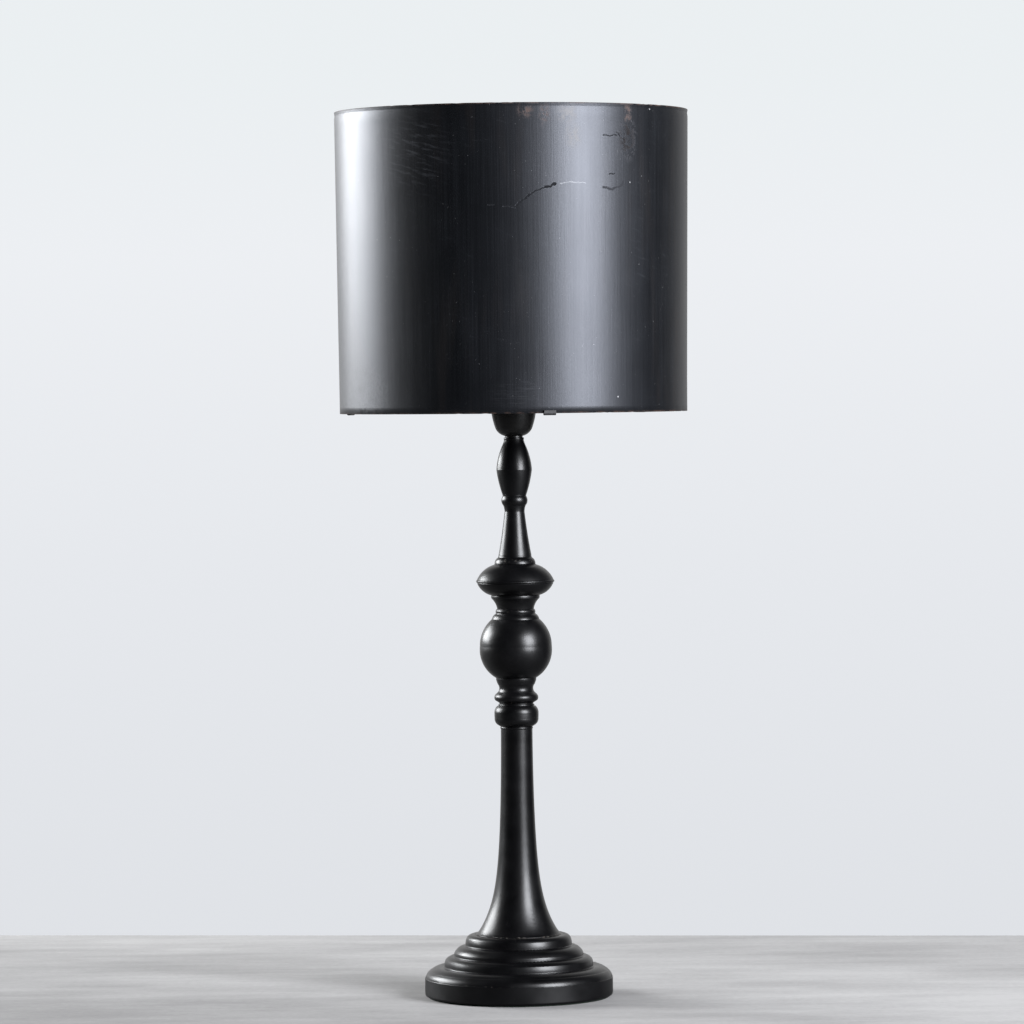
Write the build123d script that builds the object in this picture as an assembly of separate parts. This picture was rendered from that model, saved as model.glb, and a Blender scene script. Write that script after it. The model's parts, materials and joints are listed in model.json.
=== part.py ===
from build123d import *
import math
import os

# Table lamp with a turned wooden stand and a sheet-steel drum shade.
# Millimetres, +Z up. The origin is the centre of the underside. The front is -Y, the cable inlet +Y.

# ------------------------------------------------------------------ driving dimensions
# Shade
SHADE_TOP_R = 150.0
SHADE_BOTTOM_R = 147.5
SHADE_HEIGHT = 255.0
SHADE_SHEET = 0.8
SEAM_GAP = 0.3
SEAM_STRIP_W = 16.0
SEAM_RIVETS = 7
SEAM_RIVET_R = 1.6
SEAM_HEAD_R = 2.8
SEAM_HEAD_H = 0.8
SEAM_MARGIN = 5.0

# Fitter: a hub and three strip arms whose ends hook round the bottom rim
FITTER_DROP = 11.2
HUB_T = 1.5
HUB_RIM_GAP = 2.0
ARM_COUNT = 3
ARM_FIRST_ANGLE = 11.6
ARM_W = 10.0
ARM_T = 1.5
ARM_LAP = 10.0
ARM_BEND_R = 1.0
ARM_SHOULDER = 4.0
HOOK_LIP = 2.4
FITTER_RIVET_R = 1.75
FITTER_HEAD_R = 3.2
FITTER_HEAD_H = 1.3

# Base
BASE_R = 80.0
FELT_T = 1.2
FELT_INSET = 2.5
FOOT_EDGE_R = 2.2
PLINTH_MARGIN = 3.0
TIER_FILLET = 0.9
TOP_TIER_R = 45.3
TOP_TIER_EDGE = 5.0
BASE_TOP_Z = 53.0
CAVITY_R = 52.0
CAVITY_ROOF_Z = 30.0

# Turned stem pieces, each seated on the one below
COLUMN_H = 197.2
COLUMN_FOOT_STEP = 9.1
COLUMN_FOOT_EDGE = 0.2
COLUMN_SHAFT_R = 13.5
COLUMN_DRUM_R = 18.8
KNOP_H = 118.2
KNOP_BALL_R = 30.6
KNOP_SAUCER_R = 33.4
KNOP_BEAD_R = 18.6
SPINDLE_H = 107.6
SPINDLE_FOOT_R = 17.4
SPINDLE_VASE_R = 15.1
JOINT_R = 14.4
STEM_BORE_GAP = 0.25

# Tie tube, nut and washer
TUBE_R = 5.0
TUBE_BORE_R = 3.5
TUBE_BELOW_NUT = 3.8
TUBE_INTO_CAP = 6.0
WASHER_R = 15.0
WASHER_T = 2.0
NUT_WALL = 3.5
NUT_H = 5.2

# Ballast ring, open at the back for the terminal block
WEIGHT_GAP = 2.0
WEIGHT_W = 21.0
WEIGHT_H = 14.0
WEIGHT_GAP_ANGLE = 56.0
WEIGHT_SCREW_R = 2.0
WEIGHT_SCREW_HEAD_R = 4.0
WEIGHT_SCREW_HEAD_H = 2.4
WEIGHT_SCREW_DEPTH = 8.0

# Cable inlet
INLET_BORE_R = 3.6
BUSHING_WALL = 1.2
BUSHING_FLANGE_W = 1.4
INLET_ABOVE_MIDDLE = 0.8
BUSHING_FLANGE_T = 2.0
SPOT_FACE_DEPTH = 1.2

# Terminal block and leads
BLOCK_W = 19.0
BLOCK_D = 14.0
BLOCK_H = 10.0
BLOCK_Y = 38.0
BLOCK_POLE_PITCH = 9.0
BLOCK_SCREW_R = 1.3
BLOCK_SCREW_HEAD_R = 1.9
LEAD_R = 1.1
LEAD_GAP = 0.6
WIRE_HOLE_GAP = 0.3
LEAD_BEND_R = 8.0

# Lampholder (E27), heights above its seat on the spindle
CAP_BOSS_WALL = 2.5
CAP_H = 30.0
CAP_WALL = 2.6
GRUB_R = 1.5
INSERT_BELOW_RIM = 14.5
INSERT_H = 10.5
INSERT_INSET = 0.15
SKIRT_FLANGE_W = 2.3
SKIRT_FLANGE_T = 2.5
SKIRT_ROOM = 3.15
SKIRT_WALL = 2.5
SPIGOT_WALL = 2.75
SKIRT_H = 27.5
SKIRT_SPIGOT_H = 9.5
THREAD_GAP = 0.5
SCREW_SHELL_T = 0.45
SCREW_SHELL_H = 24.0
SHELL_FLOOR_W = 5.1
TERMINAL_X = 8.0
TERMINAL_Y = 5.0
TERMINAL_SCREW_R = 1.5
TERMINAL_HEAD_R = 2.6
TERMINAL_HEAD_H = 1.6
CONTACT_T = 0.6
CONTACT_RISE = 2.6

# Shade ring
RING_W = 6.3
RING_H = 6.5
RING_NOTCHES = 24
RING_NOTCH_R = 0.9
RING_WASHER_T = 0.8

# Bulb (A60 with an E27 cap), heights above its contact
BULB_R = 30.0
BULB_LENGTH = 105.0
BULB_GLASS_T = 0.8
BULB_NECK_Z = 23.5
BULB_CAP_R = 13.1
BULB_CAP_T = 0.35
BULB_CAP_TAPER = 1.6
BULB_CAP_TAPER_H = 1.5
NECK_GAP = 0.25
BULB_CAP_LOW_Z = 6.0
BULB_CAP_TOP_Z = 26.0
BULB_BUTTON_R = 4.8
BULB_BUTTON_H = 1.5
BULB_STEM_R = 3.0
BULB_STEM_BELOW_TOP = 43.0
FILAMENT_COUNT = 4
FILAMENT_R = 1.0
FILAMENT_LENGTH = 28.0
FILAMENT_CIRCLE_R = 9.0
WIRE_R = 0.5

# Clearances
SLIP = 0.1
RUNNING = 0.06
HOOK_GAP = 0.15
FREE = 0.4

# ------------------------------------------------------------------ places worked out from them
COLUMN_Z = BASE_TOP_Z
KNOP_Z = COLUMN_Z + COLUMN_H
SPINDLE_Z = KNOP_Z + KNOP_H
HOLDER_Z = SPINDLE_Z + SPINDLE_H
FLANGE_Z = HOLDER_Z + CAP_H
HUB_Z = FLANGE_Z + SKIRT_FLANGE_T
HUB_TOP_Z = HUB_Z + HUB_T
RING_Z = HUB_TOP_Z + RING_WASHER_T
SHADE_Z = HUB_Z - FITTER_DROP
SHADE_TOP_Z = SHADE_Z + SHADE_HEIGHT
INSERT_LOW_Z = FLANGE_Z - INSERT_BELOW_RIM
INSERT_TOP_Z = INSERT_LOW_Z + INSERT_H
BULB_Z = INSERT_TOP_Z + CONTACT_RISE
TUBE_LOW_Z = CAVITY_ROOF_Z - WASHER_T - NUT_H - TUBE_BELOW_NUT
TUBE_TOP_Z = HOLDER_Z + TUBE_INTO_CAP
STEM_BORE_R = TUBE_R + STEM_BORE_GAP
SCREW_SHELL_R = BULB_CAP_R + THREAD_GAP
SHELL_OUTER_R = SCREW_SHELL_R + SCREW_SHELL_T
INSERT_R = SHELL_OUTER_R - INSERT_INSET
BARREL_INNER_R = SHELL_OUTER_R + SKIRT_ROOM
SKIRT_R = BARREL_INNER_R + SKIRT_WALL
SKIRT_FLANGE_R = SKIRT_R + SKIRT_FLANGE_W
SPIGOT_R = SHELL_OUTER_R + SLIP + SPIGOT_WALL
CAP_R = SPIGOT_R + SLIP + CAP_WALL
CAP_BOSS_R = TUBE_R + CAP_BOSS_WALL
HUB_BORE_R = SKIRT_R + FREE
RING_R = SKIRT_R + RING_W
HUB_R = RING_R + HUB_RIM_GAP + ARM_LAP
FITTER_RIVET_CIRCLE_R = HUB_R - ARM_LAP / 2
BULB_NECK_R = BULB_CAP_R - BULB_CAP_T - NECK_GAP
BULB_STEM_TOP_Z = BULB_LENGTH - BULB_STEM_BELOW_TOP
BLOCK_TOP_Z = CAVITY_ROOF_Z
BLOCK_LOW_Z = BLOCK_TOP_Z - BLOCK_H
BLOCK_WIRE_R = LEAD_R + WIRE_HOLE_GAP
LEAD_PITCH = 2 * LEAD_R + LEAD_GAP
BUSHING_R = INLET_BORE_R + BUSHING_WALL
BUSHING_FLANGE_R = BUSHING_R + BUSHING_FLANGE_W
PLINTH_TOP_Z = FELT_T + 2 * (BUSHING_FLANGE_R + SLIP) + PLINTH_MARGIN
INLET_Z = (FELT_T + PLINTH_TOP_Z) / 2 + INLET_ABOVE_MIDDLE
COLUMN_FOOT_R = TOP_TIER_R - COLUMN_FOOT_STEP
WEIGHT_R = CAVITY_R - WEIGHT_GAP
WEIGHT_INNER_R = WEIGHT_R - WEIGHT_W
NUT_FLATS = 2 * (TUBE_R + NUT_WALL)


# ------------------------------------------------------------------ helpers
def outline(points):
    """Edges through (radius, height, bulge) points: the bulge is the sagitta of the arc that
    leaves a point, positive away from the axis on the way up, and 0 for a straight run."""
    edges = []
    for start, end in zip(points, points[1:]):
        low, high, bulge = start[:2], end[:2], start[2]
        edges.append(SagittaArc(low, high, -bulge) if bulge else Line(low, high))
    return edges


def revolved(edges, angle=360):
    """Turns a closed loop of edges, drawn as (radius, height), about Z."""
    return revolve(Plane.XZ * make_face(edges), Axis.Z, angle)


def turned(points, bore_r=0.0):
    """A turned solid from its outer outline, bottom first, with a bore through it."""
    low_z, high_z = points[0][1], points[-1][1]
    closing = [
        Line((points[-1][0], high_z), (bore_r, high_z)),
        Line((bore_r, high_z), (bore_r, low_z)),
        Line((bore_r, low_z), (points[0][0], low_z)),
    ]
    return revolved(outline(points) + closing)


def stretched(points, height):
    """The outline with its heights scaled so that it ends at this height."""
    scale = height / points[-1][1]
    return [(r, z * scale, bulge) for r, z, bulge in points]


def rod(radius, low_z, high_z, x=0.0, y=0.0):
    """An upright cylinder between two heights."""
    return Pos(x, y, low_z) * extrude(Circle(radius), high_z - low_z)


def ring(outer_r, inner_r, low_z, high_z):
    """An upright tube between two heights."""
    return Pos(0, 0, low_z) * extrude(Circle(outer_r) - Circle(inner_r), high_z - low_z)


def rod_along_y(radius, low_y, high_y, x=0.0, z=0.0):
    """A level cylinder along Y between two places."""
    section = Plane(origin=(x, low_y, z), x_dir=(1, 0, 0), z_dir=(0, 1, 0)) * Circle(radius)
    return extrude(section, high_y - low_y, dir=(0, 1, 0))


def dome_head(radius, height, z):
    """A rivet's or screw's domed head, flat side down."""
    rim = height * 0.35
    points = [(radius, 0, 0), (radius, rim, height * 0.12), (radius * 0.45, height, 0)]
    return Pos(0, 0, z) * turned(points)


def at_angle(solid, degrees):
    """Turns a solid about the lamp's axis."""
    return Rot(0, 0, degrees) * solid


def front_angle(degrees):
    """The turn that takes +X to a direction this far to the right of the front."""
    return degrees - 90


def save(shape, node):
    """Writes one sub-part."""
    solids = shape.solids()
    whole = solids[0] if len(solids) == 1 else Compound(children=list(solids))
    export_step(whole, f"parts/{node}.step")


# ------------------------------------------------------------------ base
def base_tiers():
    """The stepped outline above the plinth: each tier is a short wall under a rounded shoulder."""
    spread = BASE_R - TOP_TIER_R
    rise = BASE_TOP_Z - PLINTH_TOP_Z
    # The wall's place as a share of the spread, its foot and top as shares of the rise, how far
    # it leans in, its own bulge and the bulge of the shoulder above it
    tiers = [
        (0.89, 0.131, 0.166, 0.9, 0.1, 1.4),
        (0.522, 0.249, 0.409, 0.9, 0.25, 0.9),
        (0.282, 0.5, 0.586, 0.4, 0.1, 1.3),
        (0.003, 0.749, 0.917, 1.0, 0.25, 0.65),
    ]
    points = []
    for share, foot, top, lean, bulge, shoulder in tiers:
        wall_r = TOP_TIER_R + spread * share
        foot_z = PLINTH_TOP_Z + rise * foot
        top_z = PLINTH_TOP_Z + rise * top
        if points:
            points.append((wall_r + TIER_FILLET, foot_z - TIER_FILLET * 0.3, -0.25))
        points.append((wall_r, foot_z + TIER_FILLET * 0.7, bulge))
        points.append((wall_r - lean, top_z, shoulder))
    points.append((TOP_TIER_R - TOP_TIER_EDGE, BASE_TOP_Z, 0))
    return points


def base():
    plinth = [
        (BASE_R - FOOT_EDGE_R, FELT_T, 0.3 * FOOT_EDGE_R),
        (BASE_R, FELT_T + FOOT_EDGE_R, 0),
        (BASE_R, PLINTH_TOP_Z - 0.4, 0.12),
        (BASE_R - 0.5, PLINTH_TOP_Z, 0.7),
    ]
    solid = turned(plinth + base_tiers(), STEM_BORE_R)
    solid -= rod(CAVITY_R, FELT_T, CAVITY_ROOF_Z)
    solid -= rod_along_y(BUSHING_R + SLIP, CAVITY_R / 2, BASE_R, z=INLET_Z)
    solid -= rod_along_y(BUSHING_FLANGE_R + SLIP, BASE_R - SPOT_FACE_DEPTH, BASE_R + 1, z=INLET_Z)
    for x, y in weight_screw_places():
        solid -= rod(WEIGHT_SCREW_R, CAVITY_ROOF_Z, CAVITY_ROOF_Z + WEIGHT_SCREW_DEPTH, x, y)
    solid -= rod(BLOCK_SCREW_R, CAVITY_ROOF_Z, CAVITY_ROOF_Z + BLOCK_H / 2, 0, BLOCK_Y)
    return solid


def felt_pad():
    return rod(BASE_R - FELT_INSET, 0, FELT_T)


def weight_screw_places():
    circle_r = (WEIGHT_R + WEIGHT_INNER_R) / 2
    return [(-circle_r, 0), (circle_r, 0)]


def base_weight():
    low_z = CAVITY_ROOF_Z - WEIGHT_H
    body = ring(WEIGHT_R, WEIGHT_INNER_R, low_z, CAVITY_ROOF_Z)
    half = math.radians(WEIGHT_GAP_ANGLE / 2)
    reach = WEIGHT_R * 2
    gap = make_face(Polyline(
        (0, 0), (reach * math.sin(half), reach * math.cos(half)),
        (-reach * math.sin(half), reach * math.cos(half)), close=True))
    body -= Pos(0, 0, low_z) * extrude(gap, WEIGHT_H)
    for x, y in weight_screw_places():
        body -= rod(WEIGHT_SCREW_R + SLIP, low_z, CAVITY_ROOF_Z, x, y)
    return body


def weight_screws():
    head_top = CAVITY_ROOF_Z - WEIGHT_H
    tip_z = CAVITY_ROOF_Z + WEIGHT_SCREW_DEPTH
    screws = []
    for x, y in weight_screw_places():
        head = rod(WEIGHT_SCREW_HEAD_R, head_top - WEIGHT_SCREW_HEAD_H, head_top, x, y)
        slot = Pos(x, y, head_top - WEIGHT_SCREW_HEAD_H) * Box(WEIGHT_SCREW_HEAD_R * 2.2, 1.0, 1.6)
        screws.append(head - slot + rod(WEIGHT_SCREW_R, head_top, tip_z, x, y))
    return Compound(children=screws)


def base_washer():
    return ring(WASHER_R, TUBE_R + SLIP, CAVITY_ROOF_Z - WASHER_T, CAVITY_ROOF_Z)


def base_nut():
    top_z = CAVITY_ROOF_Z - WASHER_T
    hexagon = RegularPolygon(NUT_FLATS / 2, 6, major_radius=False)
    return Pos(0, 0, top_z - NUT_H) * extrude(hexagon - Circle(TUBE_R + RUNNING), NUT_H)


def threaded_tube():
    return ring(TUBE_R, TUBE_BORE_R, TUBE_LOW_Z, TUBE_TOP_Z)


def cable_bushing():
    seat_y = BASE_R - SPOT_FACE_DEPTH
    sleeve = rod_along_y(BUSHING_R, CAVITY_R - 1, seat_y, z=INLET_Z)
    flange = rod_along_y(BUSHING_FLANGE_R, seat_y, seat_y + BUSHING_FLANGE_T, z=INLET_Z)
    bore = rod_along_y(INLET_BORE_R, CAVITY_R - 2, BASE_R + 5, z=INLET_Z)
    return sleeve + flange - bore


# ------------------------------------------------------------------ terminal block and leads
def block_poles():
    return (-BLOCK_POLE_PITCH / 2, BLOCK_POLE_PITCH / 2)


def block_screw_rows():
    return (BLOCK_Y - BLOCK_D / 4, BLOCK_Y + BLOCK_D / 4)


def terminal_block():
    mid_z = (BLOCK_LOW_Z + BLOCK_TOP_Z) / 2
    body = Pos(0, BLOCK_Y, mid_z) * Box(BLOCK_W, BLOCK_D, BLOCK_H)
    body -= rod(BLOCK_SCREW_R + SLIP, BLOCK_LOW_Z, BLOCK_TOP_Z, 0, BLOCK_Y)
    for x in block_poles():
        body -= rod_along_y(BLOCK_WIRE_R, BLOCK_Y - BLOCK_D, BLOCK_Y + BLOCK_D, x, mid_z)
        for y in block_screw_rows():
            body -= rod(BLOCK_SCREW_HEAD_R + SLIP, BLOCK_LOW_Z, mid_z, x, y)
    return body


def block_screws():
    """Four clamp screws that press the wires in the block."""
    mid_z = (BLOCK_LOW_Z + BLOCK_TOP_Z) / 2
    screws = []
    for x in block_poles():
        for y in block_screw_rows():
            body = rod(BLOCK_SCREW_HEAD_R, BLOCK_LOW_Z + 0.6, mid_z - BLOCK_WIRE_R, x, y)
            screws.append(body - Pos(x, y, BLOCK_LOW_Z + 0.6) * Box(5, 0.7, 1.4))
    return Compound(children=screws)


def block_fixing_screw():
    head = rod(BLOCK_SCREW_HEAD_R, BLOCK_LOW_Z - 1.5, BLOCK_LOW_Z, 0, BLOCK_Y)
    shank = rod(BLOCK_SCREW_R, BLOCK_LOW_Z, BLOCK_TOP_Z + BLOCK_H / 2, 0, BLOCK_Y)
    return head - Pos(0, BLOCK_Y, BLOCK_LOW_Z - 1.5) * Box(5, 0.7, 1.4) + shank


def lead(side):
    """One internal lead: out of the block, under the tube, up its bore, out to a terminal."""
    mid_z = (BLOCK_LOW_Z + BLOCK_TOP_Z) / 2
    pole_x = side * BLOCK_POLE_PITCH / 2
    tube_x = side * LEAD_PITCH / 2
    dip_z = TUBE_LOW_Z - LEAD_BEND_R - LEAD_R - FREE
    end_z = INSERT_LOW_Z
    spread_z = end_z - 2.5
    points = [
        (pole_x, BLOCK_Y - BLOCK_D / 4 - 1, mid_z),
        (pole_x, BLOCK_Y - BLOCK_D / 2 - 6, mid_z),
        (tube_x, 14, dip_z),
        (tube_x, 0, dip_z),
        (tube_x, 0, TUBE_TOP_Z + 1.5),
        (side * TERMINAL_X, 0, spread_z),
        (side * TERMINAL_X, 0, end_z),
    ]
    radii = [5.0, 7.0, LEAD_BEND_R, 2.0, 2.0]
    path = FilletPolyline(*points, radius=radii)
    start = Plane(origin=path @ 0, z_dir=path % 0)
    return sweep(start * Circle(LEAD_R), path=path)


# ------------------------------------------------------------------ turned stem
def lower_column():
    throat_r, throat_z = COLUMN_FOOT_R - COLUMN_FOOT_EDGE, 2.5 * COLUMN_FOOT_EDGE
    foot = [
        (COLUMN_FOOT_R - COLUMN_FOOT_EDGE, 0, 0.05),
        (COLUMN_FOOT_R, COLUMN_FOOT_EDGE, 0.05),
        (throat_r, throat_z, 0),
    ]
    bead_z = COLUMN_H - 22.0
    flare = throat_r - COLUMN_SHAFT_R
    rise = bead_z - throat_z
    # Control points of the trumpet, as shares of its flare and its rise
    pulls = [(1, 0), (0.726, 0.026), (0.238, 0.19), (0.137, 0.19), (0, 0.59), (0, 1)]
    trumpet = Bezier(*[(COLUMN_SHAFT_R + flare * out, throat_z + rise * up) for out, up in pulls])
    drum = [
        (COLUMN_SHAFT_R, bead_z, 0.45),
        (COLUMN_SHAFT_R, bead_z + 2.0, 0),
        (COLUMN_SHAFT_R + 2.4, bead_z + 3.4, 0.9),
        (COLUMN_DRUM_R - 0.1, bead_z + 9.3, 0.05),
        (COLUMN_DRUM_R, bead_z + 13.0, 0.8),
        (JOINT_R + 2.0, COLUMN_H - 2.6, -0.2),
        (JOINT_R + 0.8, COLUMN_H - 2.1, 0.15),
        (JOINT_R + 0.8, COLUMN_H - 1.0, 0),
        (JOINT_R, COLUMN_H - 0.7, 0),
        (JOINT_R, COLUMN_H, 0),
    ]
    closing = [
        Line((JOINT_R, COLUMN_H), (STEM_BORE_R, COLUMN_H)),
        Line((STEM_BORE_R, COLUMN_H), (STEM_BORE_R, 0)),
        Line((STEM_BORE_R, 0), (COLUMN_FOOT_R - COLUMN_FOOT_EDGE, 0)),
    ]
    return Pos(0, 0, COLUMN_Z) * revolved(outline(foot) + [trumpet] + outline(drum) + closing)


def middle_knop():
    neck_r = JOINT_R + 1.2
    points = [
        (JOINT_R, 0, 0),
        (JOINT_R + 0.6, 0.5, 0),
        (KNOP_BEAD_R - 0.6, 2.4, 0.85),
        (KNOP_BEAD_R - 0.9, 7.4, 0),
        (JOINT_R + 1.0, 9.6, -1.15),
        (JOINT_R + 1.4, 16.2, 0),
        (JOINT_R + 2.4, 18.8, 0.15),
        (JOINT_R + 2.7, 21.4, 0),
        (JOINT_R + 3.2, 21.7, 4.3),
        (KNOP_BALL_R, 48.5, 2.8),
        (neck_r + 4.6, 71.4, 0),
        (neck_r + 4.4, 72.2, 0.45),
        (neck_r + 1.5, 75.9, 0),
        (neck_r + 1.1, 76.6, 0.7),
        (neck_r, 80.2, -0.75),
        (neck_r + 4.3, 88.6, 0),
        (neck_r + 5.0, 89.4, 0.12),
        (neck_r + 5.0, 91.6, 0),
        (neck_r + 5.5, 91.9, 1.75),
        (KNOP_SAUCER_R - 1.0, 102.0, 0),
        (KNOP_SAUCER_R - 1.2, 102.4, 0),
        (KNOP_SAUCER_R - 0.4, 102.9, 0.35),
        (KNOP_SAUCER_R - 0.4, 104.5, 0),
        (KNOP_SAUCER_R - 0.8, 104.9, 2.2),
        (SPINDLE_FOOT_R + 0.5, 117.7, 0),
        (SPINDLE_FOOT_R + 0.1, 118.2, 0),
    ]
    return Pos(0, 0, KNOP_Z) * turned(stretched(points, KNOP_H), STEM_BORE_R)


def upper_spindle():
    top_r = CAP_BOSS_R + 0.9
    waist_r = top_r + 0.1
    points = [
        (SPINDLE_FOOT_R - 0.3, 0, 0),
        (SPINDLE_FOOT_R, 0.5, 0.35),
        (SPINDLE_FOOT_R - 1.5, 4.4, 0),
        (SPINDLE_FOOT_R - 2.9, 5.6, -0.2),
        (SPINDLE_FOOT_R - 3.4, 7.4, -0.35),
        (waist_r, 44.6, -0.2),
        (waist_r + 0.9, 49.6, 0),
        (waist_r + 1.3, 50.2, 1.25),
        (waist_r + 1.5, 57.8, 0),
        (waist_r + 1.6, 58.8, 0.6),
        (SPINDLE_VASE_R, 80.2, 0.95),
        (top_r + 1.5, 101.0, -0.15),
        (top_r, 105.4, 0.2),
        (top_r, 107.6, 0),
    ]
    return Pos(0, 0, SPINDLE_Z) * turned(stretched(points, SPINDLE_H), STEM_BORE_R)


# ------------------------------------------------------------------ lampholder
def holder_cap():
    inner_r = CAP_R - CAP_WALL
    outside = [
        (CAP_BOSS_R, 0, 0),
        (CAP_BOSS_R, 1.2, 1.15),
        (CAP_R - 4.1, 7.5, 0.75),
        (CAP_R - 0.1, CAP_H - 3.0, 0),
        (CAP_R, CAP_H, 0),
    ]
    inside = [
        (CAP_BOSS_R + 1.5, TUBE_INTO_CAP, 0),
        (inner_r - 3.8, 9.2, 0.4),
        (inner_r - 1.6, CAP_H - INSERT_BELOW_RIM - SLIP, 0),
        (inner_r, CAP_H - SKIRT_SPIGOT_H - 1.0, 0),
        (inner_r, CAP_H, 0),
    ]
    solid = turned(outside) - turned(inside) - rod(TUBE_R + RUNNING, 0, TUBE_INTO_CAP)
    solid = Pos(0, 0, HOLDER_Z) * solid
    return solid - grub_hole(GRUB_R + RUNNING)


def grub_hole(radius):
    """The set screw's place: radial, at the back, in the cap's thick bottom."""
    return rod_along_y(radius, TUBE_R + RUNNING, CAP_R, z=HOLDER_Z + TUBE_INTO_CAP / 2 + 0.6)


def holder_grub_screw():
    z = HOLDER_Z + TUBE_INTO_CAP / 2 + 0.6
    body = rod_along_y(GRUB_R, TUBE_R + RUNNING, CAP_BOSS_R + 2.6, z=z)
    slot = Pos(0, CAP_BOSS_R + 2.6, z) * Box(GRUB_R * 3, 1.2, 0.6)
    return body - slot


def holder_insert():
    body = rod(INSERT_R, INSERT_LOW_Z, INSERT_TOP_Z)
    body = chamfer(body.edges().filter_by(GeomType.CIRCLE), 0.6)
    for side in (-1, 1):
        body -= rod(TERMINAL_SCREW_R + SLIP, INSERT_LOW_Z, INSERT_TOP_Z, side * TERMINAL_X, TERMINAL_Y)
    body -= Pos(0, 0, INSERT_TOP_Z) * Box(9.0, 15.0, 2 * CONTACT_T)
    return body


def holder_terminal_screws():
    screws = []
    for side in (-1, 1):
        x = side * TERMINAL_X
        shank = rod(TERMINAL_SCREW_R, INSERT_LOW_Z, INSERT_TOP_Z - 3, x, TERMINAL_Y)
        head = rod(TERMINAL_HEAD_R, INSERT_LOW_Z - TERMINAL_HEAD_H, INSERT_LOW_Z, x, TERMINAL_Y)
        slot = Pos(x, TERMINAL_Y, INSERT_LOW_Z - TERMINAL_HEAD_H) * Box(TERMINAL_HEAD_R * 2.4, 0.8, 1.2)
        screws.append(shank + head - slot)
    return Compound(children=screws)


def holder_screw_shell():
    body = ring(SHELL_OUTER_R, SCREW_SHELL_R, INSERT_TOP_Z, INSERT_TOP_Z + SCREW_SHELL_H)
    floor_r = SCREW_SHELL_R - SHELL_FLOOR_W
    floor = ring(SCREW_SHELL_R, floor_r, INSERT_TOP_Z, INSERT_TOP_Z + SCREW_SHELL_T)
    return body + floor


def centre_contact():
    """A brass leaf in the insert's slot, bent up under the bulb's contact."""
    low = INSERT_TOP_Z - CONTACT_T
    path = FilletPolyline(
        (-6.5, low + CONTACT_T / 2),
        (4.0, low + CONTACT_T / 2),
        (0.5, INSERT_TOP_Z + CONTACT_RISE - CONTACT_T / 2),
        (-3.0, INSERT_TOP_Z + CONTACT_RISE - CONTACT_T / 2),
        radius=0.5)
    leaf = extrude(Plane.XZ * trace(path, line_width=CONTACT_T), 3.0, both=True)
    return at_angle(leaf, 90)


def holder_skirt():
    outside = [
        (SPIGOT_R, -SKIRT_SPIGOT_H, 0),
        (SPIGOT_R, 0, 0),
        (SKIRT_FLANGE_R - 0.4, 0, 0),
        (SKIRT_FLANGE_R, 0.4, 0),
        (SKIRT_FLANGE_R, SKIRT_FLANGE_T - 0.4, 0),
        (SKIRT_FLANGE_R - 0.4, SKIRT_FLANGE_T, 0),
        (SKIRT_R, SKIRT_FLANGE_T, 0),
        (SKIRT_R, SKIRT_FLANGE_T + SKIRT_H - 0.8, 0),
        (SKIRT_R - 0.8, SKIRT_FLANGE_T + SKIRT_H, 0),
    ]
    solid = turned(outside)
    solid -= rod(SHELL_OUTER_R + SLIP, -SKIRT_SPIGOT_H, SKIRT_H)
    solid -= rod(BARREL_INNER_R, SKIRT_FLANGE_T, SKIRT_FLANGE_T + SKIRT_H)
    return Pos(0, 0, FLANGE_Z) * solid


# ------------------------------------------------------------------ shade ring
def ring_washer():
    return ring(RING_R, SKIRT_R + FREE / 2, HUB_TOP_Z, RING_Z)


def shade_ring():
    outside = [
        (RING_R - 0.6, 0, 0),
        (RING_R, 0.6, 0),
        (RING_R, RING_H - 1.2, 0.3),
        (RING_R - 1.2, RING_H, 0),
    ]
    body = turned(outside, SKIRT_R + RUNNING)
    for index in range(RING_NOTCHES):
        notch = rod(RING_NOTCH_R, 0, RING_H, RING_R + RING_NOTCH_R / 3)
        body -= at_angle(notch, index * 360 / RING_NOTCHES)
    return Pos(0, 0, RING_Z) * body


# ------------------------------------------------------------------ shade
def shade_outer_r(z):
    """The shade's outer radius at a height."""
    return SHADE_BOTTOM_R + (SHADE_TOP_R - SHADE_BOTTOM_R) * (z - SHADE_Z) / SHADE_HEIGHT


def seam_rivet_heights():
    low, high = SHADE_Z + SEAM_MARGIN * 2.5, SHADE_TOP_Z - SEAM_MARGIN * 2.5
    step = (high - low) / (SEAM_RIVETS - 1)
    return [low + step * index for index in range(SEAM_RIVETS)]


def seam_rivet_holes():
    reach = SHADE_TOP_R + SHADE_BOTTOM_R
    return [rod_along_y(SEAM_RIVET_R + SLIP / 2, 0, reach, z=z) for z in seam_rivet_heights()]


def shade_shell():
    """The rolled sheet: a slightly conical tube, butted at the back."""
    section = Polyline(
        (SHADE_BOTTOM_R - SHADE_SHEET, SHADE_Z), (SHADE_BOTTOM_R, SHADE_Z),
        (SHADE_TOP_R, SHADE_TOP_Z), (SHADE_TOP_R - SHADE_SHEET, SHADE_TOP_Z), close=True)
    gap_angle = math.degrees(SEAM_GAP / SHADE_TOP_R)
    tube = revolve(Plane.XZ * make_face(section), Axis.Z, 360 - gap_angle)
    tube = at_angle(tube, 90 + gap_angle / 2)
    for hole in seam_rivet_holes():
        tube -= hole
    return tube


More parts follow.
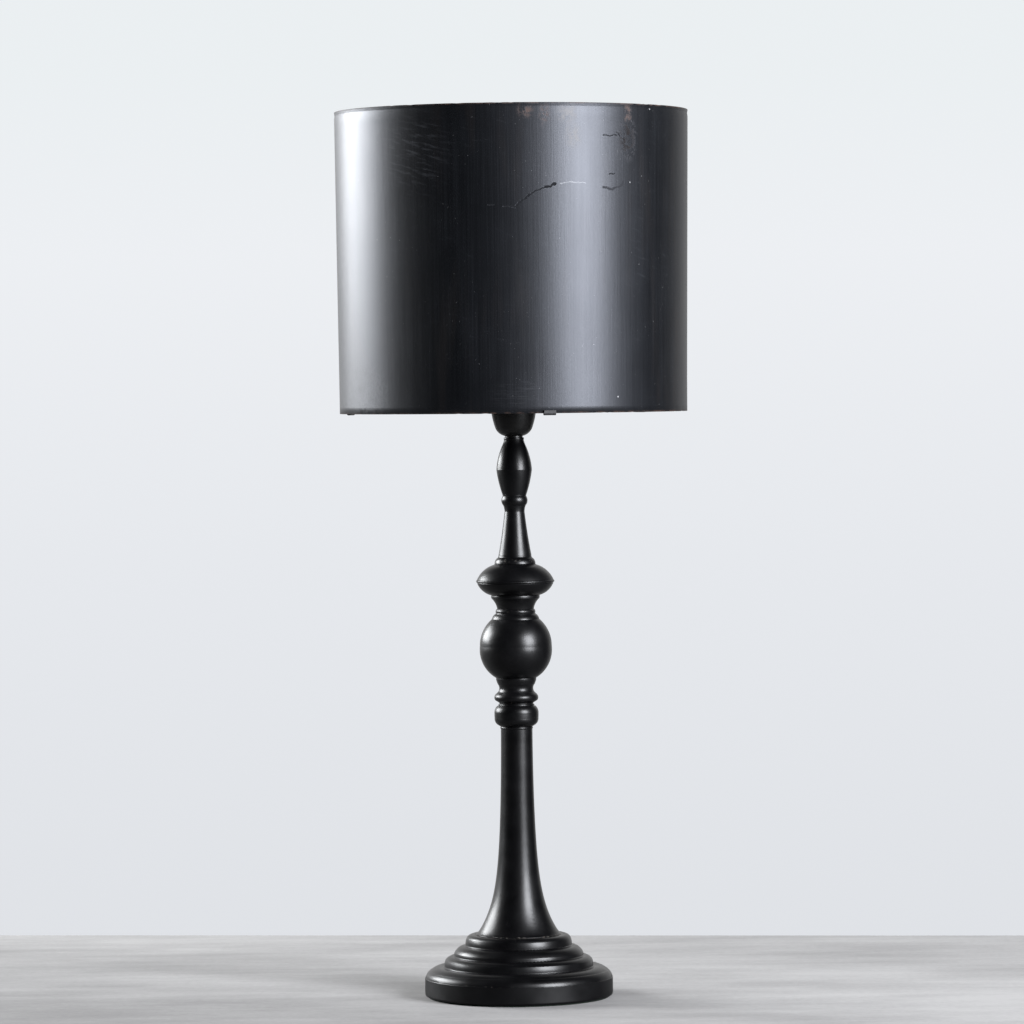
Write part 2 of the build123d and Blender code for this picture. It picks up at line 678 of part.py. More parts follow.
def seam_strip():
    """The backing strip inside the butt joint."""
    low_z, high_z = SHADE_Z + SEAM_MARGIN, SHADE_TOP_Z - SEAM_MARGIN
    outer_low = shade_outer_r(low_z) - SHADE_SHEET
    outer_high = shade_outer_r(high_z) - SHADE_SHEET
    section = Polyline(
        (outer_low - SHADE_SHEET, low_z), (outer_low, low_z),
        (outer_high, high_z), (outer_high - SHADE_SHEET, high_z), close=True)
    angle = math.degrees(SEAM_STRIP_W / SHADE_TOP_R)
    strip = at_angle(revolve(Plane.XZ * make_face(section), Axis.Z, angle), 90 - angle / 2)
    for hole in seam_rivet_holes():
        strip -= hole
    return strip


def seam_rivets():
    rivets = []
    head = dome_head(SEAM_HEAD_R, SEAM_HEAD_H, 0)
    for z in seam_rivet_heights():
        outer_y = shade_outer_r(z) + SLIP / 2
        inner_y = shade_outer_r(z) - 2 * SHADE_SHEET - SLIP / 2
        shank = rod_along_y(SEAM_RIVET_R, inner_y, outer_y, z=z)
        outer = Pos(0, outer_y, z) * Rot(-90, 0, 0) * head
        inner = Pos(0, inner_y, z) * Rot(90, 0, 0) * head
        rivets.append(shank + outer + inner)
    return Compound(children=rivets)


def fitter_hub():
    hub = ring(HUB_R, HUB_BORE_R, HUB_Z, HUB_TOP_Z)
    for index in range(ARM_COUNT):
        hub -= arm_place(rod(FITTER_RIVET_R + SLIP / 2, HUB_Z, HUB_TOP_Z, FITTER_RIVET_CIRCLE_R), index)
    return hub


def arm_place(solid, index):
    return at_angle(solid, front_angle(ARM_FIRST_ANGLE) + index * 360 / ARM_COUNT)


def fitter_arm():
    """A strip from the hub's top, down to the shade's wall and round its bottom rim."""
    half = ARM_T / 2
    flat_z = HUB_TOP_Z + half
    inner_r = SHADE_BOTTOM_R - SHADE_SHEET - HOOK_GAP - half
    outer_r = SHADE_BOTTOM_R + HOOK_GAP + half
    under_z = SHADE_Z - HOOK_GAP - half
    path = FilletPolyline(
        (HUB_R - ARM_LAP, flat_z),
        (HUB_R + ARM_BEND_R, flat_z),
        (inner_r, SHADE_Z + ARM_SHOULDER),
        (inner_r, under_z),
        (outer_r, under_z),
        (outer_r, SHADE_Z + HOOK_LIP),
        radius=ARM_BEND_R)
    strip = extrude(Plane.XZ * trace(path, line_width=ARM_T), ARM_W / 2, both=True)
    return strip - rod(FITTER_RIVET_R + SLIP / 2, HUB_Z, HUB_TOP_Z + ARM_T + 1, FITTER_RIVET_CIRCLE_R)


def fitter_rivets():
    top_z = HUB_TOP_Z + ARM_T
    shank = rod(FITTER_RIVET_R, HUB_Z, top_z)
    upper = dome_head(FITTER_HEAD_R, FITTER_HEAD_H, top_z)
    lower = Pos(0, 0, HUB_Z) * Rot(180, 0, 0) * dome_head(FITTER_HEAD_R, FITTER_HEAD_H, 0)
    rivet = Pos(FITTER_RIVET_CIRCLE_R, 0, 0) * (shank + upper + lower)
    return Compound(children=[arm_place(rivet, index) for index in range(ARM_COUNT)])


# ------------------------------------------------------------------ bulb
def bulb_outline(inset):
    """The envelope from neck to crown, moved inwards by the inset."""
    globe_z = BULB_LENGTH - BULB_R
    radius = BULB_R - inset
    join_r, join_z = radius * 0.75, globe_z - radius * math.sqrt(1 - 0.75 ** 2)
    side_sagitta = radius - radius * math.cos(math.asin(math.hypot(
        radius - join_r, globe_z - join_z) / 2 / radius))
    crown_sagitta = radius * (1 - math.cos(math.radians(45)))
    return [
        (BULB_NECK_R - inset, BULB_NECK_Z, 0),
        (BULB_NECK_R + 0.8 - inset, BULB_NECK_Z + 10.5, -1.8),
        (join_r, join_z, side_sagitta),
        (radius, globe_z, crown_sagitta),
        (0, globe_z + radius, 0),
    ]


def closed_turning(points):
    """A turned solid whose outline ends on the axis."""
    low_r, low_z = points[0][:2]
    closing = [Line((0, points[-1][1]), (0, low_z)), Line((0, low_z), (low_r, low_z))]
    return revolved(outline(points) + closing)


def bulb_glass():
    envelope = closed_turning(bulb_outline(0))
    hollow = closed_turning(bulb_outline(BULB_GLASS_T))
    return Pos(0, 0, BULB_Z) * (envelope - hollow)


def bulb_cap():
    def thimble(radius):
        return turned([
            (radius - BULB_CAP_TAPER, BULB_CAP_LOW_Z - BULB_CAP_TAPER_H, 0),
            (radius, BULB_CAP_LOW_Z, 0),
            (radius, BULB_CAP_TOP_Z, 0),
        ])

    return Pos(0, 0, BULB_Z) * (thimble(BULB_CAP_R) - thimble(BULB_CAP_R - BULB_CAP_T))


def bulb_insulator():
    """The black glass between the cap and the contact."""
    return Pos(0, 0, BULB_Z) * turned([
        (BULB_BUTTON_R + 0.2, BULB_BUTTON_H, 0),
        (BULB_CAP_R - BULB_CAP_TAPER - BULB_CAP_T - SLIP, BULB_CAP_LOW_Z - BULB_CAP_TAPER_H, 0),
    ])


def bulb_contact():
    return Pos(0, 0, BULB_Z) * turned([
        (BULB_BUTTON_R - 1.5, 0, 0.2),
        (BULB_BUTTON_R, 0.8, 0),
        (BULB_BUTTON_R, BULB_BUTTON_H, 0),
    ])


def bulb_stem():
    """The glass flare in the neck and the post that holds the filaments."""
    return Pos(0, 0, BULB_Z) * turned([
        (BULB_NECK_R - BULB_GLASS_T - SLIP, BULB_NECK_Z + 1.0, 0),
        (BULB_NECK_R - BULB_GLASS_T - SLIP, BULB_NECK_Z + 2.0, -2.0),
        (BULB_STEM_R, BULB_NECK_Z + 12.0, 0),
        (BULB_STEM_R * 0.7, BULB_STEM_TOP_Z, 0),
    ])


def bulb_filament():
    """Upright filaments round the post, each hung between two wires that reach the post."""
    middle_z = BULB_STEM_TOP_Z - 2.0
    low_z, high_z = middle_z - FILAMENT_LENGTH / 2, middle_z + FILAMENT_LENGTH / 2
    sticks = []
    for index in range(FILAMENT_COUNT):
        stick = rod(FILAMENT_R, low_z, high_z, FILAMENT_CIRCLE_R)
        lower = Pos(0, 0, low_z) * Rot(0, 90, 0) * extrude(Circle(WIRE_R), FILAMENT_CIRCLE_R)
        upper = Pos(0, 0, high_z) * Rot(0, 90, 0) * extrude(Circle(WIRE_R), FILAMENT_CIRCLE_R)
        post = rod(BULB_STEM_R + SLIP, low_z - 2, low_z + 2)
        sticks.append(at_angle(stick + upper + (lower - post), index * 360 / FILAMENT_COUNT))
    top_wire = rod(WIRE_R, BULB_STEM_TOP_Z + SLIP, high_z + WIRE_R)
    frame = sticks[0] + sticks[1] + sticks[2] + sticks[3] + top_wire
    return Pos(0, 0, BULB_Z) * frame


# ------------------------------------------------------------------ all sub-parts
def main():
    os.makedirs("parts", exist_ok=True)
    makers = [
        felt_pad, base, base_weight, weight_screws, base_washer, base_nut, threaded_tube,
        cable_bushing, terminal_block, block_screws, block_fixing_screw,
        lower_column, middle_knop, upper_spindle,
        holder_cap, holder_grub_screw, holder_insert, holder_terminal_screws, holder_screw_shell,
        centre_contact, holder_skirt, ring_washer, shade_ring,
        shade_shell, seam_strip, seam_rivets, fitter_hub, fitter_rivets,
        bulb_glass, bulb_cap, bulb_insulator, bulb_contact, bulb_stem, bulb_filament,
    ]
    for maker in makers:
        save(maker(), maker.__name__)
    save(lead(1), "lead_live")
    save(lead(-1), "lead_neutral")
    for index in range(ARM_COUNT):
        save(arm_place(fitter_arm(), index), f"fitter_arm_{index + 1}")


main()
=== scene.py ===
import bpy
import bmesh
import json
import math
import random
from mathutils import Matrix, Vector, noise


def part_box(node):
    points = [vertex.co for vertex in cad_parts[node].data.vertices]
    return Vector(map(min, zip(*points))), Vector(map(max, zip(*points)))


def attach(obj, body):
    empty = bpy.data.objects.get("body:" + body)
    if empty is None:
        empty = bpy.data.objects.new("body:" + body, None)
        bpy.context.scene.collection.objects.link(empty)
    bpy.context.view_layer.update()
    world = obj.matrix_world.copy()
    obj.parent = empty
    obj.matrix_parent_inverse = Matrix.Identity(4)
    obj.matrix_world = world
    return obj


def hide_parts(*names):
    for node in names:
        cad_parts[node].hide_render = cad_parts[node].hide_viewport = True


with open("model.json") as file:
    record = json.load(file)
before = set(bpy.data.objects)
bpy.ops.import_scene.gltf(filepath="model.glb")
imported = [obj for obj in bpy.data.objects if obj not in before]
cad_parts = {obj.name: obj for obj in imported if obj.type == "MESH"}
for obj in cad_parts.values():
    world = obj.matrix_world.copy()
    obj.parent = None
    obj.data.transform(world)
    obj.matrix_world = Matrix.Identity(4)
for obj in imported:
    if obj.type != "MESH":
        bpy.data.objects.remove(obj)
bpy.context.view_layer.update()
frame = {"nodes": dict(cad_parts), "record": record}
NODES = frame["nodes"]
SLOTS = {part["node"]: part["material_slot"] for part in frame["record"]["subparts"]}
MM = 0.001


def low_z(node):
    """The height of a node's underside, in metres."""
    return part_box(node)[0][2]


def high_z(node):
    """The height of a node's top, in metres."""
    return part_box(node)[1][2]


def widest(node):
    """A round node's radius, in metres."""
    low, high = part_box(node)
    return (high[0] - low[0]) / 2


# ------------------------------------------------------------------ camera
EYE_DISTANCE = 4.3
EYE_HEIGHT = 0.529
AIM_HEIGHT = 0.4126
AIM_ASIDE = -0.00217
ROLL = -0.55
LENS = 177.94


def make_camera():
    data = bpy.data.cameras.new("camera")
    data.lens = LENS
    data.sensor_width = 36
    data.clip_end = 60
    camera = bpy.data.objects.new("camera", data)
    bpy.context.scene.collection.objects.link(camera)
    eye = Vector((AIM_ASIDE, -EYE_DISTANCE, EYE_HEIGHT))
    aim = Vector((AIM_ASIDE, 0, AIM_HEIGHT))
    facing = (aim - eye).to_track_quat("-Z", "Y").to_matrix().to_4x4()
    camera.matrix_world = Matrix.Translation(eye) @ facing @ Matrix.Rotation(math.radians(ROLL), 4, "Z")
    bpy.context.scene.camera = camera


# ------------------------------------------------------------------ light
LIGHT_CENTRE = Vector((0, 0, 0.45))
LIGHT_DISTANCE = 2.6
# Softboxes: azimuth (0 is the camera's side, + to the right), elevation, width and height, all in
# degrees as seen from the lamp, then radiance and colour
SOFTBOXES = {
    "light_left": (-117, 15, 36, 23, 18.5, (0.96, 0.98, 1.0)),
    "light_right": (45, 14, 27, 30, 25.0, (0.93, 0.95, 1.0)),
}


def on_sphere(azimuth, elevation):
    """A point at the lights' distance in a direction from the lamp."""
    a, e = math.radians(azimuth), math.radians(elevation)
    flat = LIGHT_DISTANCE * math.cos(e)
    return LIGHT_CENTRE + Vector((flat * math.sin(a), -flat * math.cos(a), LIGHT_DISTANCE * math.sin(e)))


def span(degrees):
    """The width at the lights' distance that fills this angle."""
    return 2 * LIGHT_DISTANCE * math.tan(math.radians(degrees / 2))


def make_softbox(name, azimuth, elevation, wide, tall, radiance, colour):
    data = bpy.data.lights.new(name, "AREA")
    data.shape = "RECTANGLE"
    data.size, data.size_y = span(wide), span(tall)
    data.energy = radiance * math.pi * data.size * data.size_y
    data.color = colour
    light = bpy.data.objects.new(name, data)
    bpy.context.scene.collection.objects.link(light)
    light.location = on_sphere(azimuth, elevation)
    light.rotation_euler = (LIGHT_CENTRE - light.location).to_track_quat("-Z", "Y").to_euler()


# The room that the object mirrors: brightness in front of it and behind it, where along +Y the
# pale backdrop fades in, and how bright the room is below the object
WORLD_FRONT = 0.003
WORLD_BEHIND = 0.75
BACKDROP_FADE = (0.45, 0.95)
WORLD_BELOW = 0.55


def make_world():
    world = bpy.data.worlds.new("studio")
    bpy.context.scene.world = world
    world.use_nodes = True
    g = Graph(world.node_tree)
    direction = g.node("ShaderNodeTexCoord").outputs["Generated"]
    _, y, z = g.split(direction)
    behind = g.remap(y, *BACKDROP_FADE, 0, 1, smooth=True)
    low = g.remap(z, -0.35, 0.1, WORLD_BELOW, 1)
    room = g.math("MULTIPLY", g.remap(behind, 0, 1, WORLD_FRONT, WORLD_BEHIND), low)
    # What the camera sees behind the object: a paper wall, a little darker low down
    wall = g.ramp(g.remap(z, -0.12, 0.06, 0, 1), [
        (0.0, (0.735, 0.755, 0.79)), (0.45, (0.79, 0.81, 0.845)), (0.8, (0.845, 0.865, 0.895)),
        (1.0, (0.83, 0.865, 0.885))])
    seen = g.node("ShaderNodeLightPath").outputs["Is Camera Ray"]
    back_room = g.node("ShaderNodeBackground")
    g.link(room, back_room.inputs["Color"])
    back_wall = g.node("ShaderNodeBackground")
    g.link(wall, back_wall.inputs["Color"])
    mixed = g.node("ShaderNodeMixShader")
    g.link(seen, mixed.inputs[0])
    g.link(back_room.outputs[0], mixed.inputs[1])
    g.link(back_wall.outputs[0], mixed.inputs[2])
    g.link(mixed.outputs[0], g.node("ShaderNodeOutputWorld").inputs["Surface"])


# ------------------------------------------------------------------ node graphs
class Graph:
    """Short names for the shader nodes that the materials share."""

    def __init__(self, tree):
        self.tree = tree
        tree.nodes.clear()

    def node(self, kind, **settings):
        made = self.tree.nodes.new(kind)
        for name, value in settings.items():
            setattr(made, name, value)
        return made

    def link(self, source, target):
        """Joins a socket to an input, or sets the input to a plain value."""
        if isinstance(source, bpy.types.NodeSocket):
            self.tree.links.new(source, target)
        elif isinstance(source, (tuple, list)) and len(source) == 3 and target.type == "RGBA":
            target.default_value = (*source, 1)
        else:
            target.default_value = source

    def math(self, operation, a, b=0.0, c=None, clamp=False):
        made = self.node("ShaderNodeMath", operation=operation, use_clamp=clamp)
        self.link(a, made.inputs[0])
        self.link(b, made.inputs[1])
        if c is not None:
            self.link(c, made.inputs[2])
        return made.outputs[0]

    def product(self, first, *others):
        for other in others:
            first = self.math("MULTIPLY", first, other)
        return first

    def most(self, first, *others):
        for other in others:
            first = self.math("MAXIMUM", first, other)
        return first

    def vector(self, operation, a, b=(0, 0, 0), out=0):
        made = self.node("ShaderNodeVectorMath", operation=operation)
        self.link(a, made.inputs[0])
        if operation == "SCALE":
            self.link(b, made.inputs["Scale"])
        else:
            self.link(b, made.inputs[1])
        return made.outputs[out]

    def split(self, vector):
        made = self.node("ShaderNodeSeparateXYZ")
        self.link(vector, made.inputs[0])
        return made.outputs

    def join(self, x, y, z=0.0):
        made = self.node("ShaderNodeCombineXYZ")
        for value, socket in zip((x, y, z), made.inputs):
            self.link(value, socket)
        return made.outputs[0]

    def remap(self, value, low, high, to_low=0.0, to_high=1.0, smooth=False):
        made = self.node("ShaderNodeMapRange", interpolation_type="SMOOTHSTEP" if smooth else "LINEAR")
        for given, socket in zip((value, low, high, to_low, to_high), made.inputs):
            self.link(given, socket)
        return made.outputs[0]

    def ramp(self, value, stops):
        made = self.node("ShaderNodeValToRGB")
        elements = made.color_ramp.elements
        while len(elements) < len(stops):
            elements.new(0.5)
        for element, (place, colour) in zip(elements, stops):
            element.position = place
            element.color = (*colour, 1)
        self.link(value, made.inputs[0])
        return made.outputs[0]

    def mix(self, share, a, b):
        made = self.node("ShaderNodeMix", data_type="RGBA")
        self.link(share, made.inputs[0])
        self.link(a, made.inputs[6])
        self.link(b, made.inputs[7])
        return made.outputs[2]

    def noise(self, place, scale, detail=2.0, roughness=0.5):
        made = self.node("ShaderNodeTexNoise")
        self.link(place, made.inputs["Vector"])
        made.inputs["Scale"].default_value = scale
        made.inputs["Detail"].default_value = detail
        made.inputs["Roughness"].default_value = roughness
        return made.outputs[0]

    def vector_noise(self, place, scale):
        """Noise with a different value on each axis."""
        made = self.node("ShaderNodeTexNoise")
        self.link(place, made.inputs["Vector"])
        made.inputs["Scale"].default_value = scale
        return made.outputs["Color"]

    def bump(self, height, distance):
        made = self.node("ShaderNodeBump")
        made.inputs["Strength"].default_value = 1.0
        made.inputs["Distance"].default_value = distance
        self.link(height, made.inputs["Height"])
        return made.outputs[0]

    def place(self):
        """The object's own coordinates: metres, in the lamp's frame at rest."""
        return self.node("ShaderNodeTexCoord").outputs["Object"]

    def unrolled(self, radius_mm, low_mm):
        """The surface laid flat, in millimetres: round from the front, + to the right, and up."""
        x, y, z = self.split(self.place())
        angle = self.math("ARCTAN2", x, self.math("MULTIPLY", y, -1))
        return self.math("MULTIPLY", angle, radius_mm), self.math("MULTIPLY_ADD", z, 1000, -low_mm)

    def stretched_noise(self, u, v, mm_round, mm_up, detail=3.0, roughness=0.55, shift=0.0):
        """Noise whose grain is this wide and this tall on the laid-flat surface."""
        place = self.join(self.math("DIVIDE", u, mm_round), self.math("DIVIDE", v, mm_up), shift)
        return self.noise(place, 1.0, detail, roughness)

    def patch(self, u, v, centre, reach):
        """1 at the centre of an oval patch, falling softly to 0 at its edge."""
        across = self.math("DIVIDE", self.math("SUBTRACT", u, centre[0]), reach[0])
        up = self.math("DIVIDE", self.math("SUBTRACT", v, centre[1]), reach[1])
        return self.remap(self.vector("LENGTH", self.join(across, up), out=1), 0.2, 1, 1, 0, smooth=True)

    def stroke(self, flat, points, width):
        """1 along a drawn line of this width, 0 away from it."""
        nearest = None
        for start, end in zip(points, points[1:]):
            a, run = Vector((*start, 0)), Vector((*end, 0)) - Vector((*start, 0))
            offset = self.vector("SUBTRACT", flat, tuple(a))
            along = self.vector("DOT_PRODUCT", offset, tuple(run), out=1)
            share = self.math("DIVIDE", along, run.dot(run), clamp=True)
            foot = self.vector("SCALE", tuple(run), share)
            apart = self.vector("LENGTH", self.vector("SUBTRACT", offset, foot), out=1)
            nearest = apart if nearest is None else self.math("MINIMUM", nearest, apart)
        return self.remap(nearest, width * 0.35, width * 0.65, 1, 0, smooth=True)


class Surface(Graph):
    """A material with one principled shader."""

    def __init__(self, name, colour, rough, metallic=0.0, **constants):
        self.material = bpy.data.materials.new(name)
        self.material.use_nodes = True
        super().__init__(self.material.node_tree)
        self.shader = self.node("ShaderNodeBsdfPrincipled")
        self.set("Base Color", colour)
        self.set("Roughness", rough)
        self.set("Metallic", metallic)
        for socket, value in constants.items():
            self.set(socket.replace("_", " "), value)
        self.link(self.shader.outputs[0], self.node("ShaderNodeOutputMaterial").inputs["Surface"])

    def set(self, socket, value):
        self.link(value, self.shader.inputs[socket])


def mottled(name, light, dark, scale, rough, rough_spread, bump_mm, metallic=0.0, detail=4.0):
    """A surface whose colour and roughness vary with one grain, and its relief with a finer one."""
    s = Surface(name, light, rough, metallic)
    place = s.place()
    grain = s.noise(place, scale, detail, 0.6)
    s.set("Base Color", s.mix(s.remap(grain, 0.3, 0.7), dark, light))
    s.set("Roughness", s.remap(grain, 0.3, 0.7, rough - rough_spread, rough + rough_spread))
    s.set("Normal", s.bump(s.noise(place, scale * 3, 3.0, 0.6), bump_mm * MM))
    return s.material


# ------------------------------------------------------------------ lacquered wood
# Where the black lacquer has chipped: node, height above its underside in millimetres, how far up
# and down the chips reach in millimetres, and how thick they are, as a share
CHIP_BANDS = (
    ("upper_spindle", 3.0, 4.5, 0.62),
    ("middle_knop", 0.5, 3.0, 0.55),
    ("middle_knop", 79.0, 4.0, 0.56),
    ("lower_column", 0.4, 1.4, 0.78),
    ("base", 16.0, 2.2, 0.5),
)


LACQUER_RELIEF = 0.014 * MM


def lacquered_wood():
    s = Surface("lacquered_wood", (0.0026, 0.0026, 0.003), 0.33, IOR=1.45)
    place = s.place()
    x, _, z = s.split(place)
    soft = s.noise(place, 60, 3.0, 0.55)
    pores = s.stretched_noise(s.math("MULTIPLY", x, 1000), s.math("MULTIPLY", z, 1000), 0.8, 4.0, 4.0)
    grain = s.noise(place, 900, 3.0, 0.6)
    chips = None
    ragged = s.noise(place, 420, 4.0, 0.65)
    for node, above, reach, share in CHIP_BANDS:
        middle = low_z(node) + above * MM
        apart = s.math("ABSOLUTE", s.math("SUBTRACT", z, middle))
        band = s.remap(apart, 0, reach * MM, share * 0.32, 0, smooth=True)
        chips = band if chips is None else s.most(chips, band)
    chipped = s.remap(s.math("ADD", ragged, chips), 0.78, 0.82)
    specks = s.remap(s.noise(place, 1300, 2.0), 0.775, 0.8)
    worn = s.most(chipped, specks)
    black = s.mix(s.remap(soft, 0.35, 0.7), (0.0018, 0.0018, 0.0022), (0.0036, 0.0036, 0.0042))
    bare = s.mix(s.remap(grain, 0.35, 0.65), (0.03, 0.024, 0.02), (0.13, 0.115, 0.1))
    s.set("Base Color", s.mix(worn, black, bare))
    gloss = s.remap(s.math("ADD", soft, s.product(pores, 0.35)), 0.45, 0.9, 0.29, 0.37)
    s.set("Roughness", s.math("MAXIMUM", gloss, s.product(worn, 0.7)))
    relief = s.math(
        "MULTIPLY_ADD", soft, 5.0, s.math("MULTIPLY_ADD", pores, 1.2, s.product(grain, 0.6)))
    s.set("Normal", s.bump(s.math("MULTIPLY_ADD", worn, -6.0, relief), LACQUER_RELIEF))
    return s.material


# ------------------------------------------------------------------ blackened steel
SHADE_TALL = high_z("shade_shell") - low_z("shade_shell")
# Marks on the shade: degrees round from the front, + to the right, and millimetres above the
# bottom rim
SCRATCH = ((-2.5, 170), (1, 169.5), (2, 172.5), (6.3, 180.5), (10.5, 185.5), (12.5, 186), (14, 188.5))
SCRATCH_TAIL = ((-7.5, 171), (-5.5, 171.5))
PALE_LINE = ((15.5, 188.5), (19, 190), (24, 189.3))
DARK_CURVE = ((30.5, 185.8), (33.6, 183.8), (36.8, 186.5), (38.4, 190.4))
SHORT_CUTS = (((30.7, 228), (35.6, 228.4)), ((32.9, 196.6), (34.8, 196.8)), ((35.6, 231), (36.8, 228)))
RUST_PATCHES = (((4.5, 248), (3.5, 9)), ((10.5, 245), (2.6, 13)), ((40.2, 247), (2.2, 13)))
RUST_SPECKS = (((40, 226), (5, 22)),)
PALE_BLOOM = (((18, 246), (5, 12)), ((20, 228), (4, 14)))
WORN_CORNER = ((-58, 16), (17, 34))
LOW_SCUFFS = ((1.5, 14), (14, 15))
WIPED = ((-32, 214), (17, 46))
# Dots have a size in millimetres as well
CHALK_DOTS = ((50.3, 251, 0.9), (35.8, 13, 1.0), (41, 190, 0.8))
STEEL_TINT = (0.87, 0.905, 1.0)
STREAK_WIDE, STREAK_TALL = 1.1, 120
SCRATCH_WIDTH, CUT_WIDTH, CURVE_WIDTH, PALE_WIDTH = 1.3, 0.9, 2.2, 0.7
SHIVER = 4.0
STEEL_RELIEF = 0.045 * MM


def blackened_steel():
    radius = widest("shade_shell") / MM
    mm_per_degree = math.radians(1) * radius
    s = Surface("blackened_steel", (0.01, 0.011, 0.013), 0.4, IOR=1.58, Specular_Tint=STEEL_TINT)
    place = s.place()
    u, v = s.unrolled(radius, low_z("shade_shell") / MM)

    def on_sheet(point):
        return point[0] * mm_per_degree, point[1]

    def patches(spots):
        return s.most(*[s.patch(u, v, on_sheet(centre), on_sheet(reach)) for centre, reach in spots])

    # A line is drawn a little unevenly, as a real scratch is
    shiver = s.vector("SUBTRACT", s.vector_noise(place, 260), (0.5, 0.5, 0.5))
    flat = s.vector("ADD", s.join(u, v), s.vector("MULTIPLY", shiver, (SHIVER, SHIVER, 0.0)))

    def lines(strokes, width):
        on_flat = [[on_sheet(point) for point in points] for points in strokes]
        return s.most(*[s.stroke(flat, points, width) for points in on_flat])

    streaks = s.stretched_noise(u, v, STREAK_WIDE, STREAK_TALL, 5.0, 0.6)
    broad = s.stretched_noise(u, v, 9, 220, 3.0, 0.5, 7.0)
    clouds = s.noise(place, 20, 4.0, 0.55)
    grain = s.noise(place, 1100, 3.0, 0.6)
    tone = s.math(
        "MULTIPLY_ADD", streaks, 0.45, s.math("MULTIPLY_ADD", broad, 0.27, s.product(clouds, 0.28)))
    steel = s.ramp(tone, [
        (0.33, (0.0018, 0.002, 0.0027)), (0.5, (0.0036, 0.0041, 0.0052)),
        (0.67, (0.0085, 0.0095, 0.0115))])
    warm = s.remap(s.stretched_noise(u, v, 14, 120, 3.0, 0.5, 19.0), 0.52, 0.72)
    steel = s.mix(s.product(warm, 0.5), steel, (0.013, 0.011, 0.0105))

    # Wiping marks: pale slanting smears, high on the left
    slanted = s.math("MULTIPLY_ADD", u, 0.22, v)
    smears = s.stretched_noise(u, slanted, 16, 3.0, 3.0, 0.55, 31.0)
    wiped = s.product(s.remap(smears, 0.52, 0.68), patches([WIPED]))
    all_over = s.product(s.remap(smears, 0.6, 0.75), s.remap(clouds, 0.45, 0.65), 0.35)
    smeared = s.most(wiped, all_over)

    # Scuffs: short level lines, low in the middle
    level = s.stretched_noise(u, v, 22, 0.9, 3.0, 0.6, 43.0)
    scuffed = s.product(s.remap(level, 0.56, 0.66), patches([LOW_SCUFFS]))

    # A mottled, rubbed corner low on the left, and specks all over
    blotches = s.noise(place, 260, 5.0, 0.7)
    rubbed = s.product(s.remap(blotches, 0.44, 0.58), patches([WORN_CORNER]))
    dust = s.product(s.remap(s.noise(place, 700, 2.0), 0.75, 0.775), s.remap(clouds, 0.4, 0.6))
    dots = s.most(*[
        s.patch(u, v, on_sheet((angle, height)), (size, size)) for angle, height, size in CHALK_DOTS])

    # Rust under the top rim, rust specks below it, and a thin rusty line along both rims
    eaten = s.noise(place, 190, 5.0, 0.7)
    rust = s.product(s.remap(eaten, 0.46, 0.62), patches(RUST_PATCHES))
    pitted = s.product(s.remap(s.noise(place, 330, 4.0, 0.7), 0.5, 0.56), patches(RUST_SPECKS))
    rim = s.most(s.remap(v, 0.6, 1.6, 1, 0), s.remap(v, SHADE_TALL / MM - 1.4, SHADE_TALL / MM - 0.5))
    rim_rust = s.product(rim, s.remap(s.noise(place, 120, 4.0, 0.65), 0.42, 0.58))
    rust = s.most(rust, s.product(rim_rust, 0.8))
    bloom = s.product(s.remap(eaten, 0.4, 0.56), patches(PALE_BLOOM))

    dark_lines = s.most(
        lines((SCRATCH, SCRATCH_TAIL), SCRATCH_WIDTH), s.product(lines(SHORT_CUTS, CUT_WIDTH), 0.8))
    dark_curve = s.product(lines((DARK_CURVE,), CURVE_WIDTH), 0.6)
    pale_line = s.product(lines((PALE_LINE,), PALE_WIDTH), 0.32)

    colour = s.mix(s.product(smeared, 0.5), steel, (0.05, 0.053, 0.06))
    colour = s.mix(s.product(scuffed, 0.8), colour, (0.003, 0.003, 0.0035))
    colour = s.mix(s.product(rubbed, 0.5), colour, (0.11, 0.112, 0.115))
    colour = s.mix(s.product(bloom, 0.6), colour, (0.2, 0.19, 0.18))
    colour = s.mix(s.product(pitted, 0.8), colour, (0.012, 0.008, 0.006))
    colour = s.mix(s.product(rust, 0.7), colour, (0.1, 0.056, 0.038))
    colour = s.mix(s.most(dark_lines, dark_curve), colour, (0.003, 0.003, 0.004))
    pale = s.most(pale_line, s.product(dust, 0.6), dots)
    colour = s.mix(s.product(pale, 0.8), colour, (0.5, 0.5, 0.51))
    s.set("Base Color", colour)
    dull = s.most(
        s.product(smeared, 0.05), s.product(rubbed, 0.12), s.product(rust, 0.25), s.product(bloom, 0.1))
    cut_in = s.most(dark_lines, dark_curve, s.product(scuffed, 0.6), pitted)
    dull = s.most(dull, s.product(cut_in, 0.55))
    s.set("Roughness", s.math("ADD", s.remap(tone, 0.35, 0.65, 0.37, 0.43), dull))
    pits = s.most(dark_lines, s.product(pitted, 0.6), s.product(rust, 0.4))
    mottle = s.stretched_noise(u, v, 2.2, 9, 4.0, 0.65, 53.0)
    relief = s.math(
        "MULTIPLY_ADD", streaks, 1.0, s.math("MULTIPLY_ADD", mottle, 0.7, s.product(grain, 0.3)))
    relief = s.math("MULTIPLY_ADD", pits, -2.5, relief)
    s.set("Normal", s.bump(relief, STEEL_RELIEF))
    return s.material


# ------------------------------------------------------------------ other surfaces
def bulb_glass():
    s = Surface("bulb_glass", (1, 1, 1), 0.02, IOR=1.45, Transmission_Weight=1.0)
    place = s.place()
    s.set("Roughness", s.remap(s.noise(place, 90, 2.0), 0.3, 0.7, 0.01, 0.04))
    s.set("Normal", s.bump(s.noise(place, 45, 2.0), 0.05 * MM))
    return s.material


